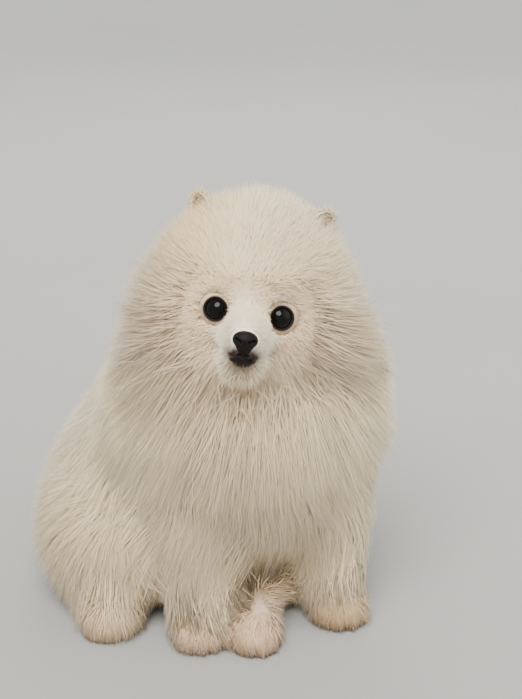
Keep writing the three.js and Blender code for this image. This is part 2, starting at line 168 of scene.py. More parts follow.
def near(field, low, high, pad=16):
    # works the field out only for points close by; further off the pad is a safe distance
    low, high = np.array(low) - pad, np.array(high) + pad

    def culled(p):
        made = np.full(len(p), float(pad))
        inside = ((p > low) & (p < high)).all(1)
        made[inside] = field(p[inside])
        return made
    return culled


def unit(v):
    return v / np.maximum(np.sqrt((v * v).sum(-1, keepdims=True)), 1e-9)


def reach(field, origin, direction, longest, steps):
    # how far each ray goes from inside a form to its surface
    s = np.zeros(len(origin))
    for _ in range(steps):
        s = np.clip(s - 0.92 * field(origin + direction * s[:, None]), 0, longest)
    return s


def aroundFrom(centre, directions, field, longest, steps):
    # points on a form's surface, one for each direction from a centre
    origin = np.tile(centre, (len(directions), 1))
    return origin + directions * reach(field, origin, directions, longest, steps)[:, None]


# The head's flesh and coat

skull = ofHead(blend([
    ellipsoid((0, 4, 2), (31, 37, 29)),
    ellipsoid((16, -10, -12), (14, 18, 14)),
    ellipsoid((-16, -10, -12), (14, 18, 14)),
    limb((0, -20, -14), (0, -47, -17.5), 15, 11),
    limb((0, -20, -25), (0, -44, -27), 10, 6.5),
], 10))
mane = blend([ellipsoid((0, 8, 6), (68, 44, 66)), ellipsoid((0, -4, -22), (65, 40, 44))], 16)
headCoat = blend([ofHead(carve(mane, ellipsoid((0, -62, -13), (36, 42, 32)), 12)), swollen(skull, 1.8)], 5)

neckFlesh = limb((-3, 58, 206), (0, 82, 150), 30, 42)
ruffCoat = blend([ellipsoid((-2, 48, 178), (79, 62, 56)), ellipsoid((-2, 88, 176), (68, 50, 54))], 20)
torsoFlesh = blend([
    ellipsoid((0, 70, 128), (48, 50, 60)),
    ellipsoid((-8, 102, 88), (50, 54, 54)),
    ellipsoid((-28, 128, 58), (54, 52, 56)),
], 22)
torsoCoat = blend([
    ellipsoid((0, 62, 122), (86, 83, 78)),
    ellipsoid((-12, 104, 104), (86, 84, 86)),
    ellipsoid((-32, 124, 62), (92, 84, 72)),
], 24)

tailRoute = np.array([
    (-30, 168, 46), (-29, 194, 76), (-22, 198, 114), (-12, 182, 150), (-5, 156, 176)], float)


def curveThrough(route, count):
    padded = np.vstack([2 * route[0] - route[1], route, 2 * route[-1] - route[-2]])
    made = []
    for t in np.linspace(0, len(route) - 1 - 1e-9, count):
        i, f = int(t), t - int(t)
        a, b, c, d = padded[i:i + 4]
        made.append(0.5 * (2 * b + (c - a) * f + (2 * a - 5 * b + 4 * c - d) * f ** 2
                           + (3 * b - a - 3 * c + d) * f ** 3))
    return np.array(made)


tailPoints = curveThrough(tailRoute, 9)


def alongTail(startRadius, endRadius):
    radii = np.linspace(startRadius, endRadius, len(tailPoints))
    return blend([limb(*tailPoints[i:i + 2], *radii[i:i + 2]) for i in range(len(tailPoints) - 1)], 8)


foreWrists = {"right": -43, "left": 47}


def forelegForms(x):
    flesh = blend([
        limb((x * 0.8, 48, 124), (x * 0.95, 42, 84), 23, 15),
        limb((x * 0.95, 42, 84), (x, 28, 18), 14.5, 9.5),
    ], 8)
    coat = blend([
        limb((x * 0.9, 42, 122), (x, 33, 66), 30, 25),
        limb((x, 33, 66), (x, 28, 22), 25, 18),
    ], 8)
    return flesh, coat


hindlegs = {      # flesh, coat and a point well inside both
    "right": (
        blend([ellipsoid((-78, 98, 44), (30, 45, 41)), limb((-85, 92, 17), (-94, 52, 13), 14, 10)], 10),
        blend([ellipsoid((-86, 100, 44), (46, 60, 52)), limb((-86, 96, 20), (-94, 60, 17), 24, 16)], 14),
        (-80, 98, 38),
    ),
    "left": (
        blend([
            ellipsoid((46, 108, 44), (30, 45, 41)),
            limb((44, 84, 30), (8, 52, 15), 15, 11),
            limb((8, 52, 15), (-7, 12, 11), 11, 8),
        ], 10),
        blend([
            ellipsoid((50, 108, 44), (44, 58, 50)),
            limb((50, 76, 34), (8, 52, 18), 24, 16),
            limb((8, 52, 18), (-7, 16, 15), 16, 11.5),
        ], 12),
        (46, 106, 38),
    ),
}

paws = {
    "forepaw_right": {"at": (-45.3, 1, 0), "turn": 4, "scale": 1},
    "forepaw_left": {"at": (46.5, -1, 0), "turn": -6, "scale": 1.04},
    "hindpaw_right": {"at": (-96, 33, 0), "turn": 8, "scale": 1},
    "hindpaw_left": {"at": (-9.3, -10.5, 0), "turn": 20, "scale": 0.86},
}
toeSpread = (-10.4, -3.9, 3.9, 10.4)
toeReach = (-4.4, 0, 0, -4.4)


def inPaw(paw, points):
    return (points - np.array(paw["at"], float)) @ rotation("Z", paw["turn"]) / paw["scale"]


def onPaw(paw, points):
    turned = np.asarray(points, float) * paw["scale"] @ rotation("Z", paw["turn"]).T
    return turned + np.array(paw["at"], float)


def pawForm(paw):
    toes = [ellipsoid((x, 8.5 - back, 6.5), (5.4, 9.5, 7.6)) for x, back in zip(toeSpread, toeReach)]
    whole = blend([*toes, ellipsoid((0, 20, 9), (13, 17, 11))], 2.2)
    return lambda p: whole(inPaw(paw, p)) * paw["scale"]


# Every part of the body: what it is made of, how its coat lies and how far the hair stands off

def steady(direction):
    return lambda p: unit(np.tile(np.array(direction, float), (len(p), 1)))


def falling(centre, outward, back):
    # down and a little out from an upright line
    return lambda p: unit(unit((p - np.array(centre, float)) * (1, 1, 0)) * outward + np.array((0, back, -1)))


def flowHead(p):
    # backwards from the nose, then out from the face like rays, and back and down over the nape
    q = inHead(p)
    outward = unit(np.stack([q[:, 0], np.zeros(len(q)), q[:, 2] + 14], 1))
    muzzle = np.clip((-q[:, 1] - 22) / 16, 0, 1)[:, None]
    behind = np.clip((q[:, 1] + 2) / 26, 0, 1)[:, None]
    rays = outward * (1 - 0.8 * muzzle) + np.array((0, 1.0, 0)) * (0.15 + 0.85 * muzzle)
    nape = np.array((0, 0.75, -0.75)) + outward * 0.25
    jaw = np.clip(-(q[:, 2] + 26) / 30, 0, 1)[:, None] * np.array((0, 0, -0.7))
    over = np.array((0, 4.4, 0)) * behind * (1 - behind)
    return unit(headward(rays * (1 - behind) + over + nape * behind) + jaw)


def flowTail(p):
    away = np.sqrt(((p[:, None] - tailPoints[None]) ** 2).sum(2))
    nearest = np.minimum(away.argmin(1), len(tailPoints) - 2)
    return unit(tailPoints[nearest + 1] - tailPoints[nearest])


skinShare = 0.22        # of the way from the flesh to the coat, where the skin lies
parts = {}


def addPart(name, flesh, coat, centre, flow, stand):
    parts[name] = {
        "flesh": flesh, "coat": coat, "centre": np.array(centre, float), "flow": flow, "stand": stand,
        "skin": share(flesh, coat, 0 if "paw" in name else skinShare)}


addPart("head", skull, headCoat, onHead((0, -4, -8)), flowHead, 0.55)
addPart("neck", neckFlesh, ruffCoat, (-2, 70, 176), falling((-2, 68, 176), 0.45, 0), 0.42)
addPart("torso", torsoFlesh, torsoCoat, (-12, 92, 92), falling((-8, 90, 100), 0.3, 0.12), 0.38)
addPart("tail", alongTail(11, 6), alongTail(24, 32), tailPoints[4], flowTail, 0.45)
for word, x in foreWrists.items():
    addPart("foreleg_" + word, *forelegForms(x), (x, 34, 62), steady((0, 0.3, -1)), 0.3)
for word, (flesh, coat, centre) in hindlegs.items():
    addPart("hindleg_" + word, flesh, coat, centre, steady((sides[word] * 0.25, 0.2, -1)), 0.36)
for name, paw in paws.items():
    form, ahead = pawForm(paw), rotation("Z", paw["turn"]) @ (0, -1, -0.5)
    addPart(name, swollen(form, -1.3), swollen(form, 0.9), onPaw(paw, (0, 16, 7)), steady(ahead), 0.2)

# Meshes

def newObject(name, data):
    made = bpy.data.objects.new(name, data)
    bpy.context.collection.objects.link(made)
    return made


def newMesh(name, vertices, faces, material):
    mesh = bpy.data.meshes.new(name)
    mesh.from_pydata(toFrame(vertices).tolist(), [], [tuple(map(int, face)) for face in faces])
    mesh.validate()
    mesh.shade_smooth()
    mesh.materials.append(material)
    return newObject(name, mesh)


def applied(piece):
    graph = bpy.context.evaluated_depsgraph_get()
    mesh = bpy.data.meshes.new_from_object(piece.evaluated_get(graph))
    old = piece.data
    piece.modifiers.clear()
    piece.data = mesh
    bpy.data.meshes.remove(old)


def ballMesh(level):
    bm = bmesh.new()
    bmesh.ops.create_icosphere(bm, subdivisions=level, radius=1)
    directions = np.array([v.co[:] for v in bm.verts])
    faces = np.array([[v.index for v in face.verts] for face in bm.faces])
    bm.free()
    return unit(directions), faces


def meshPoints(mesh):
    flat = np.empty(len(mesh.vertices) * 3)
    mesh.vertices.foreach_get("co", flat)
    return flat.reshape(-1, 3) * 1000 - shift


def meshTriangles(mesh):
    mesh.calc_loop_triangles()
    flat = np.empty(len(mesh.loop_triangles) * 3, int)
    mesh.loop_triangles.foreach_get("vertices", flat)
    return flat.reshape(-1, 3)


def settle(points, field, rounds=3):
    for _ in range(rounds):
        slope = slopeOf(field, points, 0.5)
        step = field(points)[:, None] * slope / np.maximum((slope * slope).sum(1, keepdims=True), 0.2)
        points = points - np.clip(step, -2.5, 2.5)
    return points


def addValues(mesh, name, values):
    mesh.attributes.new(name, "FLOAT", "POINT").data.foreach_set("value", np.asarray(values, np.float32))


# Markings and painted shade, shared by skin and coat: how much of each colour a place has

headMarks = {        # places on the head, each with its size and strength
    "tan": (((32, 2, 34), 20, 0.45), ((-36, 0, 32), 30, 1.0), ((38, 4, 54), 18, 0.5),
            ((-38, 4, 54), 22, 1.0), ((0, 34, 30), 30, 0.35)),
    # pinkish tone round the eyes and on the cheeks, and painted shade in the creases beside the muzzle
    "rosy_and_crease_shade": (((27, -14, -14), 17, 0.8), ((-27, -14, -14), 17, 0.9), ((0, -16, -42), 20, 0.3),
             ((14, -14, 22), 16, 0.4), ((10, -27, 3), 8, 0.8), ((-11, -25, 5), 6, 0.5),
             ((-20, -28, -32), 10, 0.7), ((21, -28, -30), 9, 0.5)),
    "white": (((0, -48, -19), 17, 1.0), ((-1, -30, -4), 7.5, 1.0), ((-2, -24, 8), 5.5, 0.6),
              ((10, -34, -20), 11, 0.8), ((-10, -34, -20), 11, 0.8)),
    "dark": (((0, -55, -27), 6.6, 1.6), ((0, -52, -30), 5.4, 1.3), ((5, -53, -27.5), 5, 1.0),
             ((-5, -53, -27.5), 5, 1.0)),
}
bodyMarks = {        # the same in the dog's own measures
    # a real stain on the left forepaw, and painted shade between the forelegs and over the hind leg behind
    # them
    "stain_and_leg_gap_shade": (((47, 2, 10), 24, 0.85), ((6, 44, 30), 24, 1.0), ((0, 30, 60), 30, 0.35)),
    # a warmer tone on the chest, and painted shade on the right flank and hind leg
    "warm_tone_and_low_shade": (((-6, 2, 150), 40, 0.8), ((-70, 110, 60), 60, 0.5)),
}
# the paws and the legs just above them darker towards the floor: partly the paws' own colour, partly painted
# shade low down; and painted shade in lines between the toes
pawToneAndShade = {"strength": 0.85, "top": 34, "fade": 26, "toeGaps": (-7.1, 0, 7.1), "gapWidth": 0.8}


def spot(p, centre, size):
    away = ((p - np.array(centre, float)) ** 2).sum(1) / size ** 2
    return np.exp(-away * 1.4)


def spots(p, places):
    return sum(spot(p, centre, size) * most for centre, size, most in places)


def markings(p):
    q = inHead(p)
    made = {name: np.clip(spots(q, places), 0, 1) for name, places in headMarks.items()}
    for side in (-1, 1):
        tears = eyeAt(side) + headward((-side * 1.5, 0, -10.5))
        made["rosy_and_crease_shade"] = np.clip(made["rosy_and_crease_shade"] + 1.2 * spot(p, tears, 8), 0, 1)
    made["white"] = made["white"] * np.clip((q[:, 2] + 35) / 7, 0.15, 1)     # ends at the chin
    # paws darker towards the floor: their own colour with painted shade low down
    low = np.clip((pawToneAndShade["top"] - p[:, 2]) / pawToneAndShade["fade"], 0, 1)
    made["paw"] = pawToneAndShade["strength"] * low * (p[:, 1] < 66)
    # painted shade in lines between the toes
    made["toe_gap_shade"] = np.zeros(len(p))
    for paw in paws.values():
        q = inPaw(paw, p)
        lines = sum(np.exp(-((q[:, 0] - x) / pawToneAndShade["gapWidth"]) ** 2) for x in pawToneAndShade["toeGaps"])
        ahead = np.clip((15 - q[:, 1]) / 8, 0, 1)
        made["toe_gap_shade"] += lines * ahead * (np.abs(q[:, 0]) < 16) * (q[:, 2] < 15)
    made["toe_gap_shade"] = np.clip(made["toe_gap_shade"], 0, 1)
    # the forepaw stain, with painted shade between the legs
    made["stain_and_leg_gap_shade"] = np.clip(spots(p, bodyMarks["stain_and_leg_gap_shade"]), 0, 1)
    # painted shade: darker and warmer the lower a place lies, on top of the spots
    made["warm_tone_and_low_shade"] = np.clip(
        spots(p, bodyMarks["warm_tone_and_low_shade"]) + 0.7 * np.clip((130 - p[:, 2]) / 110, 0, 1), 0, 1)
    return made


def mark(mesh, points):
    for name, values in markings(points).items():
        addValues(mesh, name, values)


# The sockets and the mouth line, which are cut into the skin

eye = {
    "radius": 8.4,
    "socket": 9.9,
    "clear": ((0, -12, 0), (12.6, 13.4, 12)),     # middle and radii of the hollow in front of the eye
    "hollowBlend": 2,
    "skinEdge": 2.6,         # how round the skin turns in
}


def eyeTurn(side):
    aim = Vector(headward((side * 0.3, -1, 0.06))).normalized()
    return np.array(Vector((0, -1, 0)).rotation_difference(aim).to_matrix())


def inEye(side, points):
    return (points - eyeAt(side)) @ eyeTurn(side)


def onEye(side, points):
    return np.asarray(points, float) @ eyeTurn(side).T + eyeAt(side)


def socket(side):
    front = ellipsoid(*eye["clear"])

    def field(p):
        q = inEye(side, p)
        return melt(np.sqrt((q * q).sum(1)) - eye["socket"], front(q), eye["hollowBlend"])
    return field


lips = {"reach": 12.5, "front": -57, "back": 26, "drop": 25.5, "dip": 2.4, "radius": 1.5, "cut": 0.9}
lipShares = np.linspace(-1, 1, 25)      # from the dog's right corner of the mouth to the left one
lipLine = np.stack([
    lipShares * lips["reach"],
    lips["front"] + lips["back"] * np.abs(lipShares) ** 1.7,
    -lips["drop"] - lips["dip"] * np.sin(np.abs(lipShares) * np.pi),
], 1)
mouthLine = lipLine + (0, 0, -1.6)
mouthCut = ofHead(blend([limb(a, b, lips["cut"], lips["cut"])
                         for a, b in zip(mouthLine[:-1:2], mouthLine[2::2])], 1))
headSkin = share(skull, headCoat, skinShare)
for side in (-1, 1):
    headSkin = carve(headSkin, socket(side), eye["skinEdge"])
headSkin = carve(headSkin, mouthCut, 1.2)
parts["head"]["skin"] = headSkin

farthest = 260
directions, _ = ballMesh(3)
for part in parts.values():
    outline = aroundFrom(part["centre"], directions, part["coat"], farthest, 40)
    part["low"], part["high"] = outline.min(0), outline.max(0)
# boxes of long parts, which rays from one point don't find
parts["foreleg_right"]["high"][2] = parts["foreleg_left"]["high"][2] = 150
parts["hindleg_left"]["low"][:2] = -24, 0
parts["hindleg_right"]["low"][:2] = -140, 30
parts["tail"]["low"][:] = -66, 130, 14
parts["tail"]["high"][:] = 30, 236, 212
for part in parts.values():
    part["nearSkin"] = near(part["skin"], part["low"], part["high"], 9)
    part["nearCoat"] = near(part["coat"], part["low"], part["high"], 14)
skinField = blend([part["nearSkin"] for part in parts.values()], 7)
coatBlend = blend([part["nearCoat"] for part in parts.values()], 12)


def coatField(p):
    return np.maximum(coatBlend(p), 0.8 - p[:, 2])


print("body plan ready")

# Camera and light

camera = {
    "place": (-246.2, -725.6, 496.7),
    "turn": 18,          # degrees, the camera stands to the dog's right
    "down": 21.1,
    "focalPixels": 1400,
    "frameHeight": 699,
    "sensor": 36,
}
cameraData = bpy.data.cameras.new("camera")
cameraData.sensor_width = camera["sensor"]
cameraData.lens = camera["focalPixels"] / camera["frameHeight"] * camera["sensor"]
cameraObject = newObject("camera", cameraData)
cameraObject.location = toFrame(camera["place"])
cameraObject.rotation_euler = (math.radians(90 - camera["down"]), 0, math.radians(-camera["turn"]))
cameraData.clip_start, cameraData.clip_end = 0.05, 50
bpy.context.scene.camera = cameraObject

lights = {
    "key": {
        "kind": "SUN", "place": (-450, -800, 1600), "size": 0.7, "power": 5.8, "tint": (1.0, 0.975, 0.94)},
    "fill": {
        "kind": "AREA", "place": (1300, -700, 900), "size": 1.8, "power": 9, "tint": (0.97, 0.98, 1.0)},
    "back": {
        "kind": "AREA", "place": (500, 1500, 1300), "size": 1.2, "power": 14, "tint": (1.0, 0.98, 0.95)},
}
lightAim = (0, 60, 120)
studio = {"colour": (0.93, 0.93, 0.94, 1), "strength": 0.9}
for name, light in lights.items():
    data = bpy.data.lights.new(name, light["kind"])
    if light["kind"] == "SUN":
        data.angle = light["size"]       # radians
    else:
        data.shape, data.size = "DISK", light["size"]
    data.energy, data.color = light["power"], light["tint"]
    lamp = newObject(name, data)
    lamp.location = toFrame(light["place"])
    aim = Vector(toFrame(lightAim)) - lamp.location
    lamp.rotation_euler = aim.to_track_quat("-Z", "Y").to_euler()
world = bpy.data.worlds.new("world")
world.use_nodes = True
background = world.node_tree.nodes["Background"].inputs
background["Color"].default_value = studio["colour"]
background["Strength"].default_value = studio["strength"]
bpy.context.scene.world = world

# Materials

class Wire:
    # one socket of a material; sums, differences and products of wires add Math nodes

    def __init__(self, tree, end=None):
        self.tree, self.end = tree, end

    def node(self, kind, settings=None, values=None, output=0):
        made = self.tree.nodes.new("ShaderNode" + kind)
        for name, value in (settings or {}).items():
            if name == "stops":
                for stop, (place, colour) in zip(made.color_ramp.elements, value):
                    stop.position, stop.color = place, (*colour, 1)
            else:
                setattr(made, name, value)
        for name, value in (values or {}).items():
            self.feed(made.inputs[name], value)
        return Wire(self.tree, made.outputs[output])

    def feed(self, entry, value):
        if isinstance(value, Wire):
            self.tree.links.new(value.end, entry)
        elif isinstance(value, tuple) and len(value) == 3 and entry.type == "RGBA":
            entry.default_value = (*value, 1)
        else:
            entry.default_value = value

    def math(self, operation, a, b):
        return self.node("Math", {"operation": operation}, {0: a, 1: b})

    def __add__(self, other):
        return self.math("ADD", self, other)

    def __radd__(self, other):
        return self.math("ADD", other, self)

    def __sub__(self, other):
        return self.math("SUBTRACT", self, other)

    def __rsub__(self, other):
        return self.math("SUBTRACT", other, self)

    def __mul__(self, other):
        return self.math("MULTIPLY", self, other)

    def __rmul__(self, other):
        return self.math("MULTIPLY", other, self)

    def mixed(self, a, b):
        # this wire as the share of b
        return self.node("Mix", {"data_type": "RGBA"}, {0: self, 6: a, 7: b}, 2)

    def value(self, name):
        return self.node("Attribute", {"attribute_name": name}, output=2)

    def ramp(self, name, low, high):
        # black to white over a stretch of a stored value
        stops = ((low, (0, 0, 0)), (high, (1, 1, 1)))
        return self.node("ValToRGB", {"stops": stops}, {"Fac": self.value(name)})

    def noise(self, scale, detail=3.0):
        place = self.node("TexCoord", output=3)
        return self.node("TexNoise", values={"Vector": place, "Scale": scale, "Detail": detail})


def finish(name, constants, colour, uneven=None):
    # a material; colour gives its wire, uneven the height, strength and distance of its bumps
    material = bpy.data.materials.new(name)
    material.use_nodes = True
    shader = material.node_tree.nodes["Principled BSDF"]
    for entry, value in constants.items():
        shader.inputs[entry].default_value = value
    w = Wire(material.node_tree)
    w.feed(shader.inputs["Base Color"], colour(w))
    if uneven:
        bumps = dict(zip(("Height", "Strength", "Distance"), uneven(w)))
        w.feed(shader.inputs["Normal"], w.node("Bump", values=bumps))
    return material


coatColours = {
    "cream": (0.92, 0.79, 0.55),
    # a warmer root tone, partly painted shade deep in the coat
    "deep": (0.85, 0.68, 0.46),       # near the roots
    "tan": (0.80, 0.60, 0.33),
    # pinkish tone, also painted shade in the muzzle creases
    "rosy_and_crease_shade": (0.80, 0.585, 0.41),
    "white": (0.94, 0.86, 0.72),
    # a real stain, also painted shade between the legs
    "stain_and_leg_gap_shade": (0.50, 0.345, 0.17),
    # a warmer tone, also painted shade low down and on the flank
    "warm_tone_and_low_shade": (0.71, 0.55, 0.37),
    # the paws' own colour, also painted shade low down
    "paw": (0.54, 0.36, 0.24),
    # painted shade between the toes
    "toe_gap_shade": (0.34, 0.21, 0.13),     # between the toes
    "dark": (0.036, 0.022, 0.017),    # the lips
}


def markedColour(w, base):
    # the strongest share that each marking takes, in the order they lie over one another
    for name, most in (("warm_tone_and_low_shade", 0.65), ("tan", 0.8), ("rosy_and_crease_shade", 0.75), ("white", 0.9), ("paw", 1),
                       ("stain_and_leg_gap_shade", 0.7), ("toe_gap_shade", 0.6), ("dark", 1)):
        base = (w.value(name) * most).mixed(base, coatColours[name])
    return base


def coatColour(w):
    along, tone = w.value("along"), w.value("tone")
    marked = markedColour(w, along.mixed(coatColours["deep"], coatColours["cream"]))
    # darker towards the roots: painted shade deep in the coat, with a tone that varies at random
    return w.node("HueSaturation", values={
        "Value": 0.87 + tone * 0.15 + along * 0.08, "Saturation": 1.25 - tone * 0.3, "Color": marked})


coatMaterial = finish("coat", {
    "Roughness": 0.7, "Sheen Weight": 0.2, "Sheen Roughness": 0.5, "Specular IOR Level": 0.25}, coatColour)
floorMaterial = finish(
    "floor", {"Roughness": 0.75}, lambda w: w.noise(3.0).mixed((0.30, 0.30, 0.285), (0.335, 0.335, 0.32)))

floorHalf = 30000
floorCorners = [(x * floorHalf, y * floorHalf, 0) for x, y in ((-1, -1), (1, -1), (1, 1), (-1, 1))]
floor = newMesh("floor", floorCorners, [(0, 1, 2, 3)], floorMaterial)
print("camera, light and finishes ready")

# Skin: one closed surface over head, neck, trunk, tail, legs and paws

skinPlan = {
    "voxel": 1.3,
    "ballLevel": 5,
    "floorGap": 0.3,
    # balls drawn out from one point to the next, so that the folded hind legs start as one surface
    "bridges": (((44, 84, 30), (8, 52, 15), 15), ((8, 52, 15), (-7, 10, 10), 9),
                ((-85, 92, 17), (-94, 48, 12), 11)),
}
skinMaterial = finish(
    "skin", {"Roughness": 0.7, "Sheen Weight": 0.2},
    lambda w: markedColour(w, w.noise(90.0).mixed((0.72, 0.60, 0.47), (0.80, 0.70, 0.58))),
    lambda w: (w.noise(700.0, 4.0), 0.35, 0.001))


def makeSkin():
    directions, faces = ballMesh(skinPlan["ballLevel"])
    blobs = [aroundFrom(part["centre"], directions, part["skin"], farthest, 30) for part in parts.values()]
    for a, b, radius in skinPlan["bridges"]:
        a, b = np.array(a, float), np.array(b, float)
        middle, run = (a + b) / 2, (b - a) / 2
        blobs.append(middle + directions * radius + (directions @ unit(run))[:, None] * run)
    allFaces = np.vstack([faces + i * len(directions) for i in range(len(blobs))])
    piece = newMesh("skin", np.vstack(blobs), allFaces, skinMaterial)
    remesh = piece.modifiers.new("remesh", "REMESH")
    remesh.mode, remesh.voxel_size = "VOXEL", skinPlan["voxel"] / 1000
    remesh.use_smooth_shade = True
    applied(piece)
    points = settle(meshPoints(piece.data), skinField)
    points[:, 2] = np.maximum(points[:, 2], skinPlan["floorGap"])
    piece.data.vertices.foreach_set("co", toFrame(points).ravel())
    piece.data.update()
    mark(piece.data, points)
    piece.data.materials.clear()
    piece.data.materials.append(skinMaterial)
    return piece


skin = makeSkin()
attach(skin, "root")
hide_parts(*parts)
print("skin", len(skin.data.polygons), "faces")

# Eyes: a dark glossy ball with a brown inner edge, and the lids round it

def rings(rows, columns, place, looped=False):
    # rows of points, place(row, share of the way round), and faces between them; the last row is
    # joined to the first one, or both are filled
    points = [place(i, j / columns) for i in range(rows) for j in range(columns)]
    faces = [(i * columns + j, i * columns + (j + 1) % columns,
              (i + 1) % rows * columns + (j + 1) % columns, (i + 1) % rows * columns + j)
             for i in range(rows if looped else rows - 1) for j in range(columns)]
    if not looped:
        faces += [tuple(range(columns))[::-1], tuple((rows - 1) * columns + j for j in range(columns))]
    return np.array(points), faces


def onBall(radius, angle, turn):
    # from the middle of the eye: the angle is taken from its aim, the turn runs round it
    return (radius * math.sin(angle) * math.cos(turn), -radius * math.cos(angle),
            radius * math.sin(angle) * math.sin(turn))


eyeMaterial = finish(
    "eye", {"Roughness": 0.05, "Specular IOR Level": 0.13, "Coat Weight": 0.06, "Coat Roughness": 0.02},
    lambda w: w.ramp("spread", 0.24, 0.27).mixed(
        (0.002, 0.002, 0.002), w.noise(900.0).mixed((0.012, 0.006, 0.003), (0.03, 0.014, 0.006))))


def makeEye(word, side):
    rows, columns = 34, 48

    def place(i, around):
        angle = math.pi * (i + 0.5) / rows
        return onBall(eye["radius"] * (1 + 0.03 * math.exp(-(angle / 0.5) ** 2)), angle, 2 * math.pi * around)

    points, faces = rings(rows, columns, place)
    piece = newMesh("eyeball_" + word, onEye(side, points), faces, eyeMaterial)
    addValues(piece.data, "spread", np.repeat((np.arange(rows) + 0.5) / rows, columns))
    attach(piece, "root")
    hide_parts("eye_" + word)


lid = {
    "spread": (44.5, 47),     # degrees from the middle of the eye to the rim, across and up
    "profile": ((8.3, 1), (8.7, -1.0), (9.3, -0.5), (9.9, 4), (10.2, 12), (10.3, 24), (10.2, 40), (9.6, 58),
                (8.4, 70)),      # radius, and degrees out from the rim
    "corners": (5, 3),        # degrees that the rim is drawn out, towards the nose and away from it
    "columns": 64,
    "tufts": 2200,
    "tuftRoots": 10.0,        # from the middle of the eye
}


lidMaterial = finish(
    "lid", {"Roughness": 0.6, "Specular IOR Level": 0.15},
    lambda w: w.ramp("rim", 0.34, 0.47).mixed(
        (0.010, 0.006, 0.005), w.noise(300.0).mixed((0.60, 0.45, 0.33), (0.72, 0.57, 0.44))),
    lambda w: (w.noise(900.0, 4.0), 0.3, 0.0006))


def makeLid(word, side):
    rows, columns = len(lid["profile"]), lid["columns"]
    across, up = lid["spread"]
    inner, outer = lid["corners"]

    def place(i, around):
        radius, out = lid["profile"][i]
        turn = 2 * math.pi * around
        corner = inner * max(0, -side * math.cos(turn)) ** 6 + outer * max(0, side * math.cos(turn)) ** 6
        angle = math.hypot(across * math.cos(turn), up * math.sin(turn)) + out + corner
        return onBall(radius, math.radians(angle), turn)

    points, faces = rings(rows, columns, place, True)
    piece = newMesh("lid_" + word, onEye(side, points), faces, lidMaterial)
    addValues(piece.data, "rim", np.repeat(np.linspace(0, 1, rows), columns))
    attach(piece, "root")


for word, side in sides.items():
    makeEye(word, side)
    makeLid(word, side)

# Nose and lips

nostrils = blend([
    ellipsoid((side * x, y, z), radii) for side in (-1, 1)
    for x, y, z, radii in ((3.3, -61.6, -18.5, (1.5, 2.2, 1.2)), (5.4, -60.2, -17.4, (1.9, 2.2, 0.8)))
] + [ellipsoid((0, -62.4, -22.5), (0.5, 1.6, 5))], 0.6)
noseBody = blend([
    ellipsoid((0, -56, -17.5), (7.4, 6, 5.4)), ellipsoid((0, -55.4, -20.9), (4.6, 5.4, 5.3))], 2)
noseForm = ofHead(carve(noseBody, nostrils, 0.7))


noseMaterial = finish(
    "nose", {"Roughness": 0.5, "Specular IOR Level": 0.1},
    lambda w: w.noise(200.0).mixed((0.004, 0.003, 0.003), (0.010, 0.008, 0.0075)),
    lambda w: (w.node("TexVoronoi", {"feature": "DISTANCE_TO_EDGE"}, {
        "Vector": w.node("TexCoord", output=3), "Scale": 1100.0}), 0.5, 0.0004))


def makeNose():
    directions, faces = ballMesh(6)
    points = aroundFrom(onHead((0, -55.5, -18.5)), directions, noseForm, 20, 30)
    piece = newMesh("nose_pad", points, faces, noseMaterial)
    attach(piece, "root")
    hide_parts("nose")


def tube(line, radii):
    tangents = unit(np.gradient(line, axis=0))
    across = unit(np.cross(tangents, (0, 0, 1.0)))
    up = np.cross(across, tangents)

    def place(i, around):
        turn = 2 * math.pi * around
        return line[i] + radii[i] * (across[i] * math.cos(turn) + up[i] * math.sin(turn))

    return rings(len(line), 12, place)


def makeLips():
    radii = lips["radius"] * np.sqrt(np.clip(1 - np.abs(lipShares) ** 3, 0.04, 1))
    for name, lift, thick in (("lip_upper", 0.9, 1.0), ("lip_lower", -3.0, 0.8)):
        points, faces = tube(lipLine + (0, 1.3, lift), radii * thick)
        piece = newMesh(name, onHead(points), faces, noseMaterial)
        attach(piece, "root")


makeNose()
makeLips()
print("eyes, lids, nose and lips ready")

# Claws

claw = {
    "length": 9.0,
    "radius": 1.5,
    "bend": 2.0,
    "slope": 188,
    "root": (1.04, 3.2, 6.2),     # share of the toe's place across, then ahead and up
}


hornMaterial = finish(
    "horn", {"Roughness": 0.35, "Coat Weight": 0.2},
    lambda w: w.value("tip").mixed((0.30, 0.21, 0.15), (0.10, 0.07, 0.05)),
    lambda w: (w.noise(600.0), 0.2, 0.0004))


def makeClaws(name, paw):
    rows, columns = 9, 12
    across, ahead, up = claw["root"]

    def place(i, around):
        along, turn = i / (rows - 1), 2 * math.pi * around
        radius = claw["radius"] * (1 - along) ** 0.7 + 0.12
        return (radius * math.cos(turn) * 0.8, along * claw["length"],
                radius * math.sin(turn) + claw["bend"] * along * along)

    one, faces = rings(rows, columns, place)
    one = one @ rotation("X", claw["slope"]).T
    points = np.vstack([one + (x * across, ahead - back, up) for x, back in zip(toeSpread, toeReach)])
    faces = [tuple(v + i * len(one) for v in face) for i in range(4) for face in faces]
    piece = newMesh("claws_" + name, onPaw(paw, points), faces, hornMaterial)
    addValues(piece.data, "tip", np.tile(np.repeat(np.linspace(0, 1, rows), columns), 4))
    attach(piece, "root")
    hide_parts(*[name.replace("paw", "claw") + "_" + str(i + 1) for i in range(4)])


for name, paw in paws.items():
    makeClaws(name, paw)

# Ears: small cups, low in the coat of the crown

ear = {
    "height": 38.5,
    "base": -6,
    "halfWidth": 12.6,
    "flat": 0.62,
    "wall": 1.3,
    "around": 205,        # degrees
    "tufts": 3000,
}


def earTurn(side):
    return rotation("Y", side * 27) @ rotation("X", -6) @ rotation("Z", side * 22)


def onEar(side, points):
    return onHead(np.asarray(points, float) @ earTurn(side).T + (side * 24, 3, 25))


